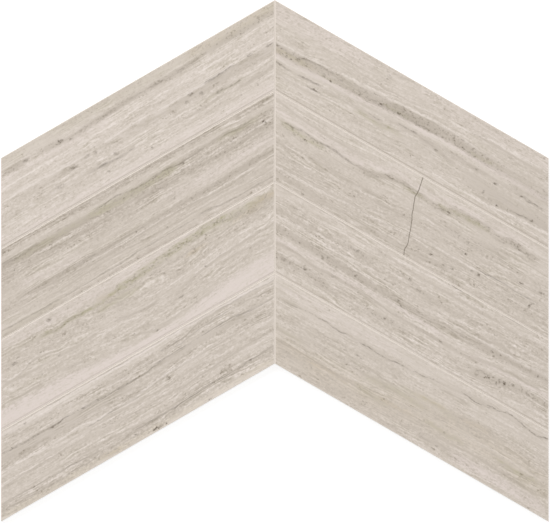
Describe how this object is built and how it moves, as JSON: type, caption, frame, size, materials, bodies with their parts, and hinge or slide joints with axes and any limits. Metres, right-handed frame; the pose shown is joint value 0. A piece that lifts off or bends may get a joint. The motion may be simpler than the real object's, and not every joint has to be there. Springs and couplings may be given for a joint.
{
  "type": "chevron wall tile",
  "caption": "Chevron mosaic sheet for walls: parallelogram strips of honed, vein-cut limestone meet at a straight spine with tight joints and eased edges, bonded to a glass-fibre mesh.",
  "frame": {"origin": "middle of the sheet's outline, on the back of the mesh", "axes": "+Z out of the visible face, +Y towards the chevron's tip, +X to the right as seen from the face"},
  "size_m": [0.2834, 0.2698, 0.0105],
  "materials": {
    "limestone": "honed, vein-cut, beige with taupe and olive veins",
    "mesh": "woven glass-fibre threads set in clear resin"
  },
  "bodies": {
    "root": {"strip_left_1": "limestone", "strip_left_2": "limestone", "strip_left_3": "limestone", "strip_left_4": "limestone", "strip_right_1": "limestone", "strip_right_2": "limestone", "strip_right_3": "limestone", "strip_right_4": "limestone", "mesh_backing": "mesh"}
  },
  "joints": []
}
